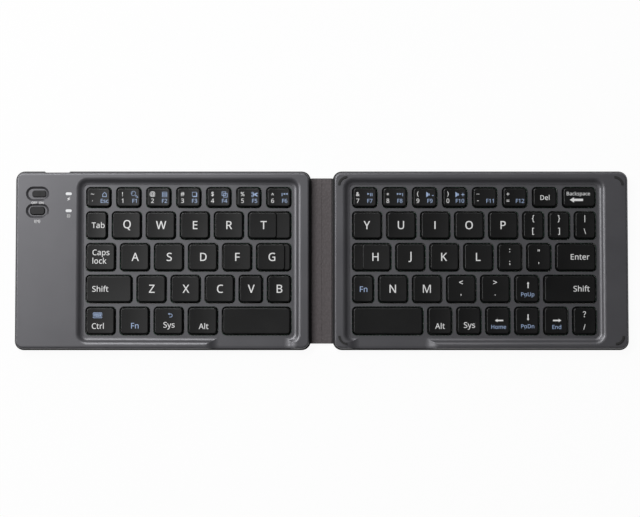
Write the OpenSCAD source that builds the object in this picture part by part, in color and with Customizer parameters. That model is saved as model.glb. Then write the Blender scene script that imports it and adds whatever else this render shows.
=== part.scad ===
// Two-fold pocket keyboard: two flat halves of keys joined by a soft spine.
// Millimetres. X runs along the two halves, +Y towards the number row, +Z up.
// The origin is on the table, under the middle of the spine, with the keyboard open.

/* [Halves] */
// Width of one half, from its hinge edge to its outer edge
half_w = 147.7; // [140:0.1:180]
// Depth of both halves, front to rear
half_d = 89.5; // [88:0.5:110]
// Radius of the halves' corners, seen from above
case_r = 4.5; // [4:0.25:7]
// Height of the rims above the table
rim_z = 6.6; // [6.4:0.1:8]
// Flat rim beside the spine, out to the hinge edge
hinge_rim = 4.8; // [4:0.1:8]
// Flat rim in front of the keys
front_rim = 2.6; // [2.5:0.1:5]

/* [Spine] */
// Width of the soft spine, hinge edge to hinge edge
spine_w = 11.1; // [10:0.1:16]
// Length of the spine, front to rear
spine_d = 83; // [70:0.5:88]
// Height of the two fold lines above the table
fold_z = 1.5; // [1.4:0.05:1.6]
// Thickness of the leather on the outside of the spine
outer_leather_t = 0.5; // [0.4:0.05:0.6]
// Thickness of the spine's whole stack: leather, ribbon cable and liner
spine_t = 1.2; // [1.1:0.05:1.25]
// Width of the ribbon cable that crosses the spine
ribbon_w = 14; // [8:1:24]

/* [Keys] */
// Width of a letter key
letter_w = 14.75; // [12.5:0.05:15.5]
// Width of a number key
number_w = 12.3; // [11:0.05:13]
// Width of the small keys beside the right space bar
side_w = 12.2; // [11.5:0.05:13]
// Width of the narrowest keys, such as the tab key
narrow_w = 10.6; // [10.4:0.05:12]
// Width of the backspace key
backspace_w = 16.5; // [14:0.05:20]
// Depth of a letter key, front to rear
key_d = 13.85; // [12.5:0.05:14.5]
// Depth of a number key, front to rear
number_d = 10.1; // [9.5:0.05:11]
// Gap between two number keys
number_gap = 2.7; // [1.5:0.05:3]
// Gap between two keys of any other row
key_gap = 2.25; // [1.5:0.05:2.7]
// Gap between two rows
row_gap = 2.05; // [1.5:0.05:2.5]
// Corner radius of a keycap, seen from above
cap_r = 2; // [1.6:0.1:2.4]
// How far a key goes down
travel = 1.2; // [0.8:0.05:1.25]
// Height of the keycaps' tops above the deck between the keys
cap_rise = 1.6; // [1.3:0.05:1.7]

/* [Case] */
// Height of the deck between the keys, above the table
deck_z = 4.8; // [4.75:0.05:5.1]
// How far the bottom case stands out beyond the bezel above it
shelf = 0.75; // [0.4:0.05:1]
// Thickness of the bezel's side walls and roof
bezel_t = 1.2; // [1:0.1:1.4]
// Thickness of the case floor over the leather
floor_t = 1; // [0.9:0.05:1.1]
// Thickness of the leather on the back of each half
back_leather_t = 0.8; // [0.7:0.05:0.9]
// How far the leather stands proud of the case underneath
leather_proud = 0.3; // [0.2:0.05:0.4]
// Width of the curved wall that falls from the rim to the deck
wall_run = 3.6; // [2.4:0.1:3.8]
// Deck left clear between the outer keys and the curved wall
deck_margin = 1.4; // [0.8:0.1:1.6]

/* [Control panel] */
// Distance of the two switches from the outer edge
switch_inset = 11.25; // [10.5:0.25:14]
// Distance of the power switch from the rear edge
power_from_rear = 11.5; // [10:0.25:14]
// Distance between the power switch and the pairing button
switch_pitch = 8.5; // [8.5:0.25:11]
// Distance of the status lights from the outer edge
light_inset = 26.85; // [24:0.25:28]
// How far the power knob slides
slide_travel = 1.6; // [1:0.1:1.8]
// How far the pairing button goes down
button_travel = 0.5; // [0.3:0.05:0.6]
// Distance of the charging port from the outer edge
port_inset = 20.65; // [19:0.25:23]

/* [Hidden] */
$fn = 48;
cut = 0.1;         // how far a cutter passes the face that it opens
clear = 0.1;       // play around a piece that seats in a pocket
seam = 0.05;       // gap between two faces that all but touch
LEFT = -1;
RIGHT = 1;

// Heights of the layers, from the table up
case_z = leather_proud;
floor_z = back_leather_t;
plate_z = floor_z + floor_t;
plate_t = 0.3;
membrane_z = plate_z + plate_t;
membrane_t = 0.3;
key_base_z = membrane_z + membrane_t;
web_t = 1;
parting_z = 3.2;
cap_top_z = deck_z + cap_rise;
cap_roof_t = 1;
cap_roof_z = cap_top_z - cap_roof_t;
press_room = 0.15;     // air left under a pressed key's skirt
skirt_z = key_base_z + travel + press_room;

// Walls of a half
case_wall = shelf + bezel_t;
lap_t = 0.6;
lap_h = 0.8;
case_round = 1.2;
rim_round = 0.9;
lip_t = 0.3;
lip_z = deck_z + lip_t;
ring_t = 1.1;
ring_z = lip_z - ring_t;
panel_z = rim_z - bezel_t;

// Leather and ribbon
leather_inset = 1.5;    // how far the leather stops short of the case's outline
fold_gap = 0.25;        // how far the backs reach past the hinge edges
spine_play = 0.55;      // how far the spine's layers stop short of the hinge edges
spine_sheet_w = spine_w - 2 * spine_play;
ribbon_t = 0.15;
ribbon_lift = 0.02;
tail_room = 1;          // how much wider than the ribbon its way through the wall is

// The well that holds the keys
deck_r = 2;
web_margin = 1;
web_skirt_t = 0.8;
cap_play = 0.35;
field_margin = wall_run + deck_margin;
field_d = 4 * key_d + number_d + 4 * row_gap;
field_w_left = 7 * number_w + 6 * number_gap;
field_w_right = field_w_left + backspace_w + number_gap;
field_x = spine_w / 2 + hinge_rim + field_margin;
field_y = -half_d / 2 + front_rim + field_margin;
field_mid_y = field_y + field_d / 2;

// Keycap section
skirt_t = 0.9;
cap_lean = 0.6;
cap_round = 0.5;
ledge_drop = 0.75;
homing_w = 2.4;
homing_d = 0.5;
homing_h = 0.25;
homing_r = 0.2;
homing_y = -3.3;

// Rows, from the rear to the front: the widths of the keys, left to right
shift_row_trim = 0.35;
shift_w = field_w_left - 3 * letter_w - 2 * (side_w - shift_row_trim) - 5 * key_gap;
ROWS_LEFT = [
    [for (i = [1 : 7]) number_w],
    filled([narrow_w, letter_w, letter_w, letter_w, letter_w], field_w_left),
    filled([letter_w, letter_w, letter_w, letter_w, letter_w], field_w_left),
    filled([shift_w, letter_w, letter_w, letter_w, side_w - shift_row_trim], field_w_left),
    filled([letter_w, letter_w, letter_w, letter_w], field_w_left)
];
bracket_w = (field_w_right - 5 * letter_w - 7 * key_gap) / 3;
h_ledge = 4.5;
space_trim = 1.1;
space_right_w = 2 * letter_w + 3 * key_gap - space_trim;
ROWS_RIGHT = [
    [for (i = [1 : 8]) i < 8 ? number_w : backspace_w],
    filled([for (i = [1 : 7]) i < 6 ? letter_w : bracket_w], field_w_right),
    filled([letter_w + h_ledge, letter_w, letter_w, letter_w, side_w, side_w], field_w_right),
    filled([narrow_w, letter_w, letter_w, letter_w, letter_w, side_w], field_w_right),
    filled([space_right_w, side_w, side_w, side_w, side_w, side_w], field_w_right)
];

// Key mechanism: two frames that cross like scissors over a rubber dome
scissor_w = 10;
scissor_d = 8;
mech_side_room = 0.45;
mech_end_room = 1.35;
link_t = 0.6;
pin_r = 0.15;
bar_r = 0.25;
bar_play = 0.1;
bar_lift = 0.4;
link_play = 0.3;
lug_w = 2;
lug_d = 1.1;
hook_t = 0.1;
dome_r = 2.2;

// Case screws
screw_r = 0.7;
screw_head_r = 1.2;
screw_head_t = 0.6;
boss_r = 1.4;
boss_gap = 0.15;
thread_play = 0.02;
screw_from_rim = 4;     // from the flat rim beside the spine
screw_from_end = 9.5;   // from the outer edge

// Switches, lights and port
bowl_w = 11.6;
bowl_d = 7.3;
bowl_depth = 0.9;
bowl_run = 1.1;
bowl_floor_z = rim_z - bowl_depth;
bowl_wall = 1.5;
bowl_pad_t = 0.8;
bowl_pad_z = bowl_floor_z - bowl_pad_t;
knob_w = 7.1;
knob_d = 3.5;
knob_top_z = rim_z - 0.1;
knob_r = 1.3;
knob_body_z = knob_top_z - 0.2;
stem_w = 1.6;
stem_d = 1.1;
stem_r = 0.3;
stem_play = 0.2;
stem_foot_z = bowl_pad_z - 0.7;
switch_w = 6.6;
switch_d = 2.8;
switch_top_z = bowl_pad_z - 0.2;
tact_w = 4.6;
tact_t = 0.35;
tact_plunger_r = 1;
tact_plunger_h = 0.6;
button_w = 7.3;
button_d = 4;
button_top_z = rim_z - 0.25;
button_r = button_d / 2 - 0.55;
button_play = 0.15;
flange_w = 0.7;
flange_t = 0.4;
flange_r = 1.2;
light_w = 3.1;
light_d = 1.4;
light_play = 0.05;
light_flange = 0.7;
light_z = panel_z - 0.8;
board_z = 2.5;
board_t = 0.8;
board_top_z = board_z + board_t;
board_w = 27.5;
board_d = 33;
board_gap = 0.6;
board_post = 2;      // distance of the posts' middles from the board's edges
board_post_r = 1.1;
tray_h = 1.2;
lead_reach = 3;      // how far the membrane's lead reaches under the board
lead_y = 4;
lead_d = 9;
lamp_size = [1.6, 0.8, 0.6];
port_w = 7.5;
port_h = 2.6;
port_d = 5.6;
port_z = 2;
port_t = 0.35;
port_play = 0.2;
board_notch_d = 4.85;
port_bevel_w = 0.9;
port_bevel_h = 1;
tongue_w = 3.9;
tongue_t = 0.6;
tongue_drop = 0.25;
port_notch_w = 11.4;
battery_w = 22;
battery_d = 38;
battery_t = 3;
battery_gap = 6;     // between the cell and the board
seal_w = battery_w - 4;
seal_d = 1.5;        // how far the cell's folded seal reaches out
seal_z = plate_z + 2.1;
wire_x = 2;
wire_r = 0.4;
wire_len = 8;

outer_x = spine_w / 2 + half_w;
switch_x = -outer_x + switch_inset;
power_y = half_d / 2 - power_from_rear;
pairing_y = power_y - switch_pitch;
light_x = -outer_x + light_inset;
port_x = -outer_x + port_inset;
board_x = -outer_x + case_wall + board_gap;
board_y = half_d / 2 - case_wall - board_gap - board_d;

// The thumb notches in the front rim
notch_w = 33;
notch_slope = 6.5;
notch_from_spine = 13.1;

// Rubber bumpers on the right half's rim
bumper_w = 1;
bumper_r = 4;
bumper_inset = 3.1;
bumper_proud = 0.5;
bumper_sunk = 0.6;

// ---- layout of the keys ----

function total(v, n) = n <= 0 ? 0 : v[n - 1] + total(v, n - 1);

// A row's widths with one more key that fills what is left of the field
function filled(v, field) = concat(v, [field - total(v, len(v)) - len(v) * key_gap]);

function rows(side) = side == LEFT ? ROWS_LEFT : ROWS_RIGHT;
function field_w(side) = side == LEFT ? field_w_left : field_w_right;
function field_left_x(side) = side == LEFT ? -field_x - field_w_left : field_x;
function row_depth(row) = row == 0 ? number_d : key_d;
function gap_in(row) = row == 0 ? number_gap : key_gap;
function row_y(row) = row == 0
    ? field_y + field_d - number_d / 2
    : field_y + key_d / 2 + (4 - row) * (key_d + row_gap);
function key_w(side, row, col) = rows(side)[row][col];
function key_x(side, row, col) =
    field_left_x(side) + total(rows(side)[row], col) + col * gap_in(row)
    + key_w(side, row, col) / 2;

// Wide keys beside the spine have a low ledge on the spine's side
function ledge_w(side, row, col) =
    side == LEFT && (row == 1 || row == 2) && col == 5 ? key_w(side, row, col) - letter_w :
    side == RIGHT && row == 2 && col == 0 ? -h_ledge : 0;

// The two keys under the forefingers carry a small bar
function has_homing(side, row, col) = row == 2 && col == (side == LEFT ? 4 : 1);

// The mechanism stands under the raised part of its key
function mech_x(side, row, col) = key_x(side, row, col) - ledge_w(side, row, col) / 2;
function mech_w(side, row, col) =
    min(scissor_w, key_w(side, row, col) - 2 * (skirt_t + mech_side_room));
function mech_d(row) = min(scissor_d, row_depth(row) - 2 * (skirt_t + mech_end_room));

// Every key of one side as [row, column]
function all_keys(side) =
    [for (row = [0 : 4]) for (col = [0 : len(rows(side)[row]) - 1]) [row, col]];

module at_keys(side) {
    for (key = all_keys(side))
        translate([mech_x(side, key[0], key[1]), row_y(key[0]), 0]) {
            $mech_w = mech_w(side, key[0], key[1]);
            $mech_d = mech_d(key[0]);
            children();
        }
}

// ---- shapes that several pieces share ----

module rounded_rect(w, d, r) {
    square([w, d - 2 * r], center = true);
    square([w - 2 * r, d], center = true);
    for (x = [-1, 1], y = [-1, 1])
        translate([x * (w / 2 - r), y * (d / 2 - r)]) circle(r);
}

// A rounded rectangle as a prism between two heights
module slab(w, d, r, z0, z1) {
    translate([0, 0, z0]) linear_extrude(z1 - z0) rounded_rect(w, d, r);
}

// A rounded plate with a shaped edge. The child is the edge's section, drawn with the
// distance out from the plate's core as X and the height as Y.
module swept_plate(w, d, r, z0, z1) {
    core = [w - 2 * r, d - 2 * r];
    translate([-core[0] / 2, -core[1] / 2, z0]) cube([core[0], core[1], z1 - z0]);
    for (turn = [0 : 3]) rotate(90 * turn)
        translate([core[turn % 2] / 2, 0, 0]) rotate([90, 0, 0])
            linear_extrude(core[(turn + 1) % 2], center = true) children();
    for (turn = [0 : 3]) rotate(90 * turn)
        translate([core[turn % 2] / 2, core[(turn + 1) % 2] / 2, 0])
            rotate_extrude(angle = 90) children();
}

// Section of a plate's edge that leans in by "lean" and is rounded at the top
module edge_section(out, z0, z1, lean, round) {
    slope = atan2(lean, z1 - z0);
    mid_z = z1 - round;
    mid_x = out - (round + (mid_z - z0) * sin(slope)) / cos(slope);
    difference() {
        polygon([[0, z0], [out, z0], [out - lean, z1], [0, z1]]);
        // what the rounding takes off the corner
        difference() {
            polygon([
                [mid_x, mid_z],
                [mid_x + 2 * round * cos(slope), mid_z + 2 * round * sin(slope)],
                [mid_x + 2 * round, z1 + round], [mid_x, z1 + round]
            ]);
            translate([mid_x, mid_z]) circle(round);
        }
    }
}

// The air over a soft S-shaped slope that rises from "low" to "high"
module ogee_air(run, low, high) {
    half = run / 2;
    rise = (high - low) / 2;
    bend = (half * half + rise * rise) / (2 * rise);
    intersection() {
        translate([0, low]) square([half, high - low + cut]);
        translate([0, low + bend]) circle(bend);
    }
    difference() {
        translate([half, low]) square([half, high - low + cut]);
        translate([run, high - bend]) circle(bend);
    }
}

// A slot shape with round ends: the child is the section from the middle line out
module swept_slot(length, d) {
    straight = length - d;
    for (side = [0, 180]) rotate(side) {
        translate([straight / 2, 0, 0]) rotate([0, 0, -90]) rotate_extrude(angle = 180) children();
        rotate([90, 0, 90]) linear_extrude(straight, center = true) children();
    }
}

module slot_prism(length, d, z0, z1) {
    translate([0, 0, z0]) linear_extrude(z1 - z0) {
        square([length - d, d], center = true);
        for (x = [-1, 1]) translate([x * (length - d) / 2, 0]) circle(d / 2);
    }
}

module at_half(side) {
    translate([side * (spine_w + half_w) / 2, 0, 0]) children();
}

module at_field(side) {
    translate([field_left_x(side) + field_w(side) / 2, field_mid_y, 0]) children();
}

// A rounded rectangle over the key field, wider than it by "margin" all round
module field_slab(side, margin, r, z0, z1) {
    at_field(side) slab(field_w(side) + 2 * margin, field_d + 2 * margin, r, z0, z1);
}

module at_screws(side) {
    front_y = -half_d / 2 + case_wall + boss_r + boss_gap;
    for (x = [hinge_rim + screw_from_rim, half_w / 2, half_w - screw_from_end],
            y = [front_y, -front_y])
        translate([side * (spine_w / 2 + x), y, 0]) children();
}

// ---- the two halves ----

module leather_back(side, play) {
    inset = leather_inset - play;
    sheet_x = spine_w / 2 - fold_gap;
    intersection() {
        at_half(side)
            slab(half_w - 2 * inset, half_d - 2 * inset, case_r - inset, 0, back_leather_t);
        translate([side * (sheet_x + half_w / 2), 0, 0])
            cube([half_w, half_d, 4 * back_leather_t], center = true);
    }
    // the sheet runs on past the hinge edge, at the spine's own length
    translate([side * (sheet_x + case_r), 0, back_leather_t / 2])
        cube([2 * case_r, spine_d + 2 * play, back_leather_t], center = true);
}

module bottom_case(side) {
    lip_in = case_wall - lap_t;
    difference() {
        union() {
            at_half(side)
                translate([0, 0, case_z + parting_z]) mirror([0, 0, 1])
                    swept_plate(half_w, half_d, case_r, case_z, parting_z)
                        edge_section(case_r, case_z, parting_z, 0, case_round);
            at_half(side)
                slab(half_w - 2 * lip_in, half_d - 2 * lip_in, case_r - lip_in,
                    plate_z, parting_z + lap_h);
        }
        at_half(side)
            slab(half_w - 2 * case_wall, half_d - 2 * case_wall, case_r - case_wall,
                plate_z, rim_z);
        leather_back(side, clear);
        at_screws(side) {
            cylinder(r = screw_r + clear, h = plate_z + cut);
            cylinder(r = screw_head_r + clear, h = floor_z + screw_head_t);
        }
        // the membrane's tail leaves through the hinge wall
        translate([side * (spine_w / 2 + case_wall / 2), 0, membrane_z + membrane_t / 2])
            cube([3 * case_wall, ribbon_w + tail_room, membrane_t + 2 * clear], center = true);
        if (side == LEFT) port_cutter();
    }
    if (side == LEFT) {
        translate([board_x, board_y, 0])
            for (x = [board_post, board_w - board_post], y = [board_post, board_d - 3 * board_post])
                translate([x, y, plate_z]) cylinder(r = board_post_r, h = board_z - plate_z);
        battery_tray();
    }
}

// Four low corner walls that keep the cell in place
module battery_tray() {
    wall = 0.8;
    reach = 5;
    gap = 0.3;
    translate([battery_x, battery_y, plate_z]) difference() {
        linear_extrude(tray_h) square([battery_w + 2 * (wall + gap), battery_d + 2 * (wall + gap)],
            center = true);
        translate([0, 0, -cut]) linear_extrude(tray_h + 2 * cut)
            square([battery_w + 2 * gap, battery_d + 2 * gap], center = true);
        for (size = [[2 * battery_w, battery_d - 2 * reach], [battery_w - 2 * reach, 2 * battery_d]])
            translate([0, 0, -cut]) linear_extrude(tray_h + 2 * cut) square(size, center = true);
    }
}

battery_x = board_x + board_w / 2;
battery_y = board_y - battery_gap - battery_d / 2;

module top_bezel(side) {
    difference() {
        union() {
            difference() {
                at_half(side)
                    swept_plate(half_w - 2 * shelf, half_d - 2 * shelf, case_r - shelf,
                        parting_z, rim_z)
                        edge_section(case_r - shelf, parting_z, rim_z, 0, rim_round);
                bezel_hollow(side);
            }
            at_screws(side)
                translate([0, 0, plate_z + seam]) cylinder(r = boss_r, h = panel_z - plate_z);
        }
        at_screws(side)
            translate([0, 0, plate_z]) cylinder(r = screw_r + thread_play, h = ring_z - plate_z);
        key_well(side);
        thumb_notch(side);
        if (side == LEFT) {
            control_cutters();
            port_cutter();
        } else {
            translate([0, 0, rim_z - bumper_sunk]) bumper_arcs(bumper_sunk + cut, seam);
        }
    }
}

module bezel_hollow(side) {
    lap_in = case_wall - lap_t - seam;
    at_half(side) {
        slab(half_w - 2 * lap_in, half_d - 2 * lap_in, case_r - lap_in,
            parting_z - cut, parting_z + lap_h + seam);
        slab(half_w - 2 * case_wall, half_d - 2 * case_wall, case_r - case_wall,
            parting_z - cut, ring_z);
    }
    field_slab(side, deck_margin + web_margin + clear, deck_r + web_margin, parting_z, deck_z);
    if (side == LEFT) difference() {
        panel_left = -outer_x + case_wall;
        panel_right = -field_x - field_w_left - deck_margin - web_margin - bezel_t;
        translate([(panel_left + panel_right) / 2, 0, 0])
            slab(panel_right - panel_left, half_d - 2 * case_wall, case_r - case_wall,
                parting_z, panel_z);
        translate([switch_x, (power_y + pairing_y) / 2, 0])
            slab(bowl_w + 2 * bowl_wall, bowl_d + switch_pitch + 2 * bowl_wall, 2,
                bowl_pad_z, rim_z);
    }
}

module key_well(side) {
    spread = wall_run + deck_margin;
    top_r = deck_r + wall_run;
    at_field(side)
        swept_plate(field_w(side) + 2 * spread, field_d + 2 * spread, top_r,
            deck_z - cut, rim_z + cut) {
            translate([0, deck_z - cut]) square([deck_r, rim_z - deck_z + 2 * cut]);
            translate([deck_r, 0]) ogee_air(wall_run, lip_z, rim_z);
        }
}

module thumb_notch(side) {
    front = -half_d / 2 - cut;
    depth = field_y - deck_margin - front;
    translate([side * (spine_w / 2 + notch_from_spine + notch_w / 2), front + depth, 0])
        rotate([90, 0, 0]) linear_extrude(depth) {
            translate([-notch_w / 2, lip_z]) square([notch_w, rim_z - lip_z + cut]);
            for (end = [0, 1]) mirror([end, 0])
                translate([notch_w / 2, 0]) ogee_air(notch_slope, lip_z, rim_z);
        }
}

module key_web(side) {
    margin = deck_margin + web_margin;
    difference() {
        union() {
            field_slab(side, margin, deck_r + web_margin, deck_z - web_t, deck_z);
            field_slab(side, margin, deck_r + web_margin, key_base_z, deck_z - web_t);
        }
        field_slab(side, margin - web_skirt_t, deck_r + web_margin - web_skirt_t,
            key_base_z - cut, deck_z - web_t);
        translate([0, 0, deck_z - web_t - cut]) linear_extrude(web_t + 2 * cut)
            for (key = all_keys(side))
                translate([key_x(side, key[0], key[1]), row_y(key[0])])
                    rounded_rect(key_w(side, key[0], key[1]) + 2 * cap_play,
                        row_depth(key[0]) + 2 * cap_play, cap_r + cap_play);
    }
}

module support_plate(side) {
    field_slab(side, deck_margin + web_margin, deck_r + web_margin, plate_z, membrane_z);
    at_keys(side) lugs(membrane_z, key_base_z + bar_lift, 1);
}

module switch_membrane(side) {
    tail_w = ribbon_w;
    margin = deck_margin + web_margin;
    tail_x = spine_w / 2 + fold_gap;
    translate([0, 0, membrane_z]) linear_extrude(membrane_t) difference() {
        union() {
            at_field(side)
                rounded_rect(field_w(side) + 2 * margin, field_d + 2 * margin,
                    deck_r + web_margin);
            translate([side * (tail_x + field_margin + hinge_rim / 2) - (field_margin + hinge_rim / 2),
                -tail_w / 2])
                square([2 * field_margin + hinge_rim, tail_w]);
            // the lead to the clamp on the main board
            if (side == LEFT) translate([board_x + board_w - lead_reach, board_y + lead_y])
                square([field_left_x(LEFT) - board_x - board_w + lead_reach, lead_d]);
        }
        at_keys(side)
            for (y = [-1, 1])
                translate([0, y * $mech_d / 2])
                    square([lug_w + 2 * clear, lug_d + 2 * clear], center = true);
    }
}

// Hooks over the scissor bars: "up" is 1 on the plate and -1 under a keycap
module lugs(z0, bar_z, up) {
    height = abs(bar_z - z0) + bar_r + bar_play + hook_t;
    for (y = [-1, 1])
        translate([-lug_w / 2, y * $mech_d / 2, z0])
            rotate([90, 0, 90]) linear_extrude(lug_w) difference() {
                translate([-lug_d / 2, up > 0 ? 0 : -height]) square([lug_d, height]);
                translate([0, bar_z - z0]) circle(bar_r + bar_play);
            }
}

// One frame of a scissor: a round-ended plate along the slope, with a window for the dome.
// The window leaves two arms and a bar at each end; "pin" is the radius of the pivot pins.
module scissor_frame(width, depth, low_z, high_z, pin) {
    slope = atan2(high_z - low_z, depth);
    reach = norm([depth, high_z - low_z]);
    translate([0, 0, (low_z + high_z) / 2]) rotate([slope, 0, 0]) difference() {
        union() {
            rotate([90, 0, 90]) linear_extrude(width, center = true) {
                square([reach, 2 * bar_r], center = true);
                for (end = [-1, 1]) translate([end * reach / 2, 0]) circle(bar_r);
            }
            if (pin > 0) rotate([0, 90, 0]) cylinder(r = pin, h = width + link_t, center = true);
        }
        cube([width - 2 * link_t, reach - 2 * bar_r, 4 * bar_r], center = true);
        if (pin == 0) rotate([0, 90, 0]) cylinder(r = pin_r + seam, h = 2 * width, center = true);
    }
}

module scissor_links(side) {
    low_z = key_base_z + bar_lift;
    high_z = cap_roof_z - bar_lift;
    at_keys(side) {
        scissor_frame($mech_w, $mech_d, low_z, high_z, 0);
        mirror([0, 1, 0])
            scissor_frame($mech_w - 2 * link_t - link_play, $mech_d, low_z, high_z, pin_r);
    }
}

module key_domes(side) {
    top = cap_roof_z - seam;
    crown_r = 1.3;
    crown_h = 0.7;
    plunger_r = 0.7;
    plunger_h = 1.4;
    wall = 0.3;
    foot = 0.5;
    thin = 0.2;
    at_keys(side) rotate_extrude() polygon([
        [0, top], [crown_r, top], [crown_r, top - crown_h],
        [dome_r - wall, key_base_z + wall], [dome_r, key_base_z + wall], [dome_r, key_base_z],
        [dome_r - foot, key_base_z], [dome_r - foot, key_base_z + thin],
        [crown_r - wall, top - crown_h - thin], [plunger_r, top - crown_h - thin],
        [plunger_r, top - plunger_h], [0, top - plunger_h]
    ]);
}

module case_screws(side) {
    at_screws(side) {
        translate([0, 0, floor_z]) cylinder(r = screw_head_r, h = screw_head_t);
        translate([0, 0, floor_z]) cylinder(r = screw_r, h = ring_z - floor_z - 2 * clear);
    }
}

// ---- keys ----

module cap_body(w, d, top_z) {
    swept_plate(w, d, cap_r, skirt_z, top_z)
        edge_section(cap_r, skirt_z, top_z, cap_lean, cap_round);
}

// A keycap is a hollow shell with two hooks under its roof
module keycap(side, row, col) {
    w = key_w(side, row, col);
    d = row_depth(row);
    ledge = ledge_w(side, row, col);
    raised_w = w - abs(ledge);
    translate([key_x(side, row, col), row_y(row), 0]) difference() {
        union() {
            translate([-ledge / 2, 0, 0]) cap_body(raised_w, d, cap_top_z);
            if (ledge != 0) cap_body(w, d, cap_top_z - ledge_drop);
            if (has_homing(side, row, col)) translate([0, homing_y, 0])
                slab(homing_w, homing_d, homing_r, cap_roof_z + seam, cap_top_z + homing_h);
        }
        difference() {
            translate([-ledge / 2, 0, 0]) cap_pocket(raised_w, d, cap_roof_z);
            translate([-ledge / 2, 0, 0]) {
                $mech_d = mech_d(row);
                lugs(cap_roof_z, cap_roof_z - bar_lift, -1);
            }
        }
        if (ledge != 0) difference() {
            cap_pocket(w, d, cap_roof_z - ledge_drop);
            translate([-ledge / 2, 0, 0]) cube([lug_w + 2, d, 2 * cap_top_z], center = true);
        }
    }
}

module cap_pocket(w, d, roof_z) {
    slab(w - 2 * skirt_t, d - 2 * skirt_t, cap_r - skirt_t, skirt_z - cut, roof_z);
}

module keycaps(side, row, first, last) {
    color([0.16, 0.16, 0.17]) for (col = [first : last]) keycap(side, row, col);
}

module number_keys_left() keycaps(LEFT, 0, 0, 6);
module tab_key() keycaps(LEFT, 1, 0, 0);
module letter_keys_q_to_r() keycaps(LEFT, 1, 1, 4);
module letter_key_t() keycaps(LEFT, 1, 5, 5);
module caps_lock_key() keycaps(LEFT, 2, 0, 0);
module letter_keys_a_to_f() keycaps(LEFT, 2, 1, 4);
module letter_key_g() keycaps(LEFT, 2, 5, 5);
module shift_key_left() keycaps(LEFT, 3, 0, 0);
module letter_keys_z_to_b() keycaps(LEFT, 3, 1, 5);
module control_key() keycaps(LEFT, 4, 0, 0);
module function_key_left() keycaps(LEFT, 4, 1, 1);
module system_key_left() keycaps(LEFT, 4, 2, 2);
module alt_key_left() keycaps(LEFT, 4, 3, 3);
module space_key_left() keycaps(LEFT, 4, 4, 4);
module number_keys_right() keycaps(RIGHT, 0, 0, 6);
module backspace_key() keycaps(RIGHT, 0, 7, 7);
module letter_keys_y_to_p() keycaps(RIGHT, 1, 0, 7);
module letter_key_h() keycaps(RIGHT, 2, 0, 0);
module letter_keys_j_to_l() keycaps(RIGHT, 2, 1, 3);
module punctuation_keys() keycaps(RIGHT, 2, 4, 5);
module enter_key() keycaps(RIGHT, 2, 6, 6);
module function_key_right() keycaps(RIGHT, 3, 0, 0);
module letter_keys_n_and_m() keycaps(RIGHT, 3, 1, 4);
module arrow_up_key() keycaps(RIGHT, 3, 5, 5);
module shift_key_right() keycaps(RIGHT, 3, 6, 6);
module space_key_right() keycaps(RIGHT, 4, 0, 0);
module alt_and_system_keys_right() keycaps(RIGHT, 4, 1, 2);
module arrow_left_key() keycaps(RIGHT, 4, 3, 3);
module arrow_down_key() keycaps(RIGHT, 4, 4, 4);
module arrow_right_and_slash_keys() keycaps(RIGHT, 4, 5, 6);

// ---- control panel, board and cell ----

// Section of a switch bowl: its sloping side and flat floor, from the middle line out
module bowl_section() {
    floor_half = bowl_d / 2 - bowl_run;
    polygon([
        [0, bowl_floor_z], [floor_half, bowl_floor_z],
        [bowl_d / 2, rim_z], [bowl_d / 2, rim_z + cut], [0, rim_z + cut]
    ]);
}

module control_cutters() {
    for (y = [power_y, pairing_y])
        translate([switch_x, y, 0]) swept_slot(bowl_w, bowl_d) bowl_section();
    translate([switch_x, power_y, 0])
        slot_prism(stem_w + slide_travel + 3 * stem_play, stem_d + 2 * stem_play,
            bowl_pad_z - cut, rim_z);
    translate([switch_x, pairing_y, 0])
        slab(button_w + 2 * button_play, button_d + 2 * button_play, button_r + button_play,
            bowl_pad_z - cut, rim_z);
    for (y = [power_y, pairing_y])
        translate([light_x, y, 0])
            slot_prism(light_w + 2 * light_play, light_d + 2 * light_play,
                panel_z - cut, rim_z + cut);
}

// The way to the charging port: the outline of its shell and the notch in the shelf
module port_cutter() {
    rear_y = half_d / 2;
    translate([port_x, rear_y + cut, port_z + port_h / 2])
        rotate([90, 0, 0]) linear_extrude(case_wall + board_gap - cut)
            square([port_w + 2 * port_play, port_h + 2 * port_play], center = true);
    translate([port_x, rear_y, 0]) linear_extrude(parting_z + cut)
        polygon([
            [-port_notch_w / 2, -shelf], [port_notch_w / 2, -shelf],
            [port_notch_w / 2 + shelf, cut], [-port_notch_w / 2 - shelf, cut]
        ]);
}

module power_switch_body() {
    color([0.2, 0.2, 0.21]) translate([switch_x, power_y, 0]) difference() {
        slab(switch_w, switch_d, stem_r, board_top_z, switch_top_z);
        slot_prism(stem_w + slide_travel + 2 * stem_play, stem_d + stem_play,
            stem_foot_z - clear, rim_z);
    }
}

module power_slide_knob() {
    knob_z = bowl_floor_z + seam;
    grip_w = 0.7;
    grip_margin = 0.6;
    color([0.1, 0.1, 0.11]) translate([switch_x + slide_travel / 2, power_y, 0]) {
        swept_plate(knob_w, knob_d, knob_r, knob_z, knob_body_z)
            edge_section(knob_r, knob_z, knob_body_z, 0.15, 0.3);
        slab(grip_w, knob_d - 2 * grip_margin, 0.2, knob_z, knob_top_z);
        slab(stem_w, stem_d, stem_r, stem_foot_z, knob_z + stem_play);
    }
}

module pairing_tact_switch() {
    color([0.55, 0.55, 0.58]) translate([switch_x, pairing_y, 0]) {
        slab(tact_w, tact_w, 0.4, board_top_z, board_top_z + tact_t);
        translate([0, 0, board_top_z]) cylinder(r = tact_plunger_r, h = tact_plunger_h);
    }
}

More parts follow.
